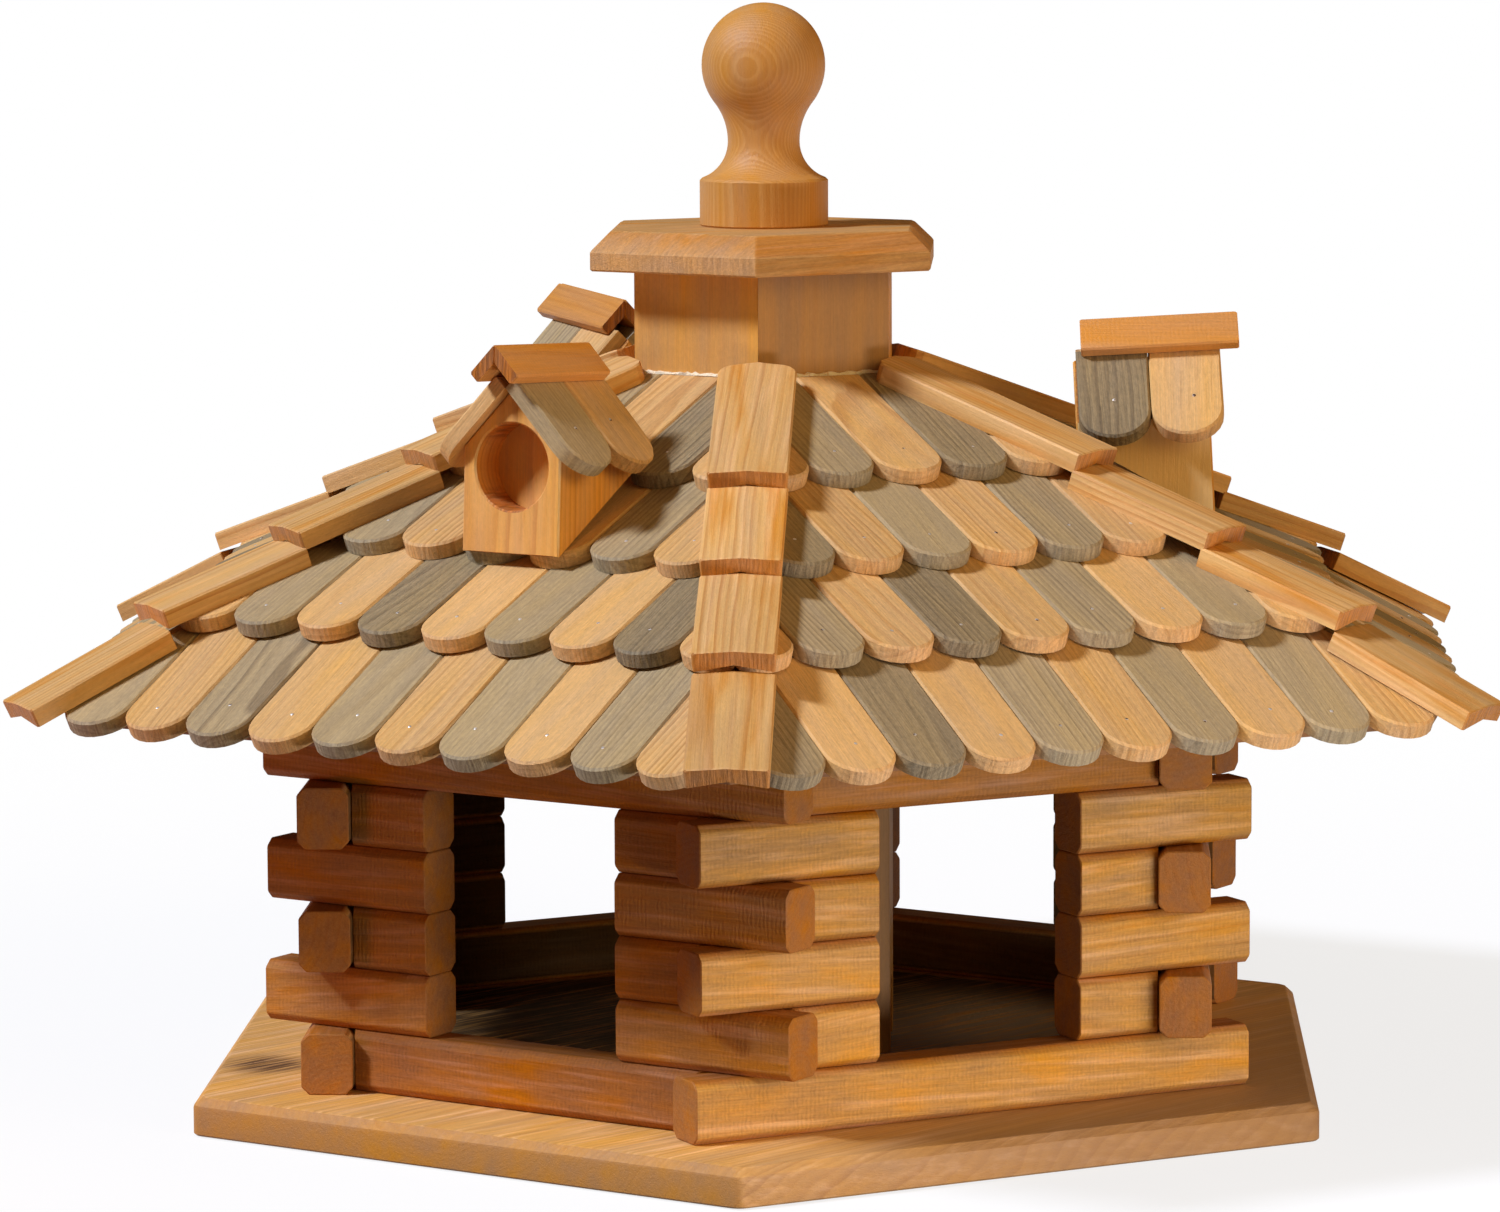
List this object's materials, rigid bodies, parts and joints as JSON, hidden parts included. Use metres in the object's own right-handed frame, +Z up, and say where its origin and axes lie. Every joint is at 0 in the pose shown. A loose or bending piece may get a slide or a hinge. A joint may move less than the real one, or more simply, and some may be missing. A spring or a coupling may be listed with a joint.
{
  "type": "bird feeder",
  "caption": "Hexagonal log-cabin bird feeder with a central seed silo, open windows, a shingled hip roof with dormers and a lift-off lid with a turned knob.",
  "frame": {"origin": "middle of the floor board's flat underside, on the vertical axis of the silo", "axes": "+Z up along the silo; +X towards a corner of the hexagon, along the greatest width; wall 1 and its dormer face -Y"},
  "size_m": [0.6392, 0.5682, 0.4309],
  "materials": {
    "grey_stained_wood": "grey-brown stain on sawn pine, matt",
    "natural_shingle_wood": "clear-oiled sawn pine, satin",
    "cap_wood": "planed pine, clear oil, satin",
    "panel_plywood": "dark brown stained plywood, matt",
    "floor_wood": "teak-toned oiled pine board, satin",
    "silo_wood": "teak-toned oiled pine, satin",
    "dormer_wood": "teak-toned oiled pine, satin",
    "lid_wood": "teak-toned oiled pine, turned and planed, satin",
    "log_wood": "teak-toned oiled pine, planed with chamfered edges, satin"
  },
  "bodies": {
    "house": {"dormer_block_1": "dormer_wood", "dormer_block_2": "dormer_wood", "dormer_block_3": "dormer_wood", "dormer_grey_shingles": "grey_stained_wood", "dormer_natural_shingles": "natural_shingle_wood", "dormer_ridge_1": "cap_wood", "dormer_ridge_2": "cap_wood", "dormer_ridge_3": "cap_wood", "floor_plate": "floor_wood", "grey_shingles_row_1": "grey_stained_wood", "grey_shingles_row_2": "grey_stained_wood", "grey_shingles_row_3": "grey_stained_wood", "grey_shingles_row_4": "grey_stained_wood", "hip_caps_1": "cap_wood", "hip_caps_2": "cap_wood", "hip_caps_3": "cap_wood", "hip_caps_4": "cap_wood", "hip_caps_5": "cap_wood", "hip_caps_6": "cap_wood", "lintel_log_1": "log_wood", "lintel_log_2": "log_wood", "lintel_log_3": "log_wood", "lintel_log_4": "log_wood", "lintel_log_5": "log_wood", "lintel_log_6": "log_wood", "natural_shingles_row_1": "natural_shingle_wood", "natural_shingles_row_2": "natural_shingle_wood", "natural_shingles_row_3": "natural_shingle_wood", "natural_shingles_row_4": "natural_shingle_wood", "plate_logs": "log_wood", "roof_panel_1": "panel_plywood", "roof_panel_2": "panel_plywood", "roof_panel_3": "panel_plywood", "roof_panel_4": "panel_plywood", "roof_panel_5": "panel_plywood", "roof_panel_6": "panel_plywood", "sill_log_1": "log_wood", "sill_log_2": "log_wood", "sill_log_3": "log_wood", "sill_log_4": "log_wood", "sill_log_5": "log_wood", "sill_log_6": "log_wood", "silo_board_1": "silo_wood", "silo_board_2": "silo_wood", "silo_board_3": "silo_wood", "silo_board_4": "silo_wood", "silo_board_5": "silo_wood", "silo_board_6": "silo_wood", "tie_logs": "log_wood", "window_logs_1": "log_wood", "window_logs_2": "log_wood", "window_logs_3": "log_wood", "window_logs_4": "log_wood", "window_logs_5": "log_wood", "window_logs_6": "log_wood"},
    "lid": {"lid_knob": "lid_wood", "lid_plate": "lid_wood", "lid_plug": "lid_wood"}
  },
  "joints": [
    {"name": "lid_lift", "type": "slide", "parent": "house", "child": "lid", "axis": [0, 0, 1], "range_m": [0, 0.08]}
  ]
}
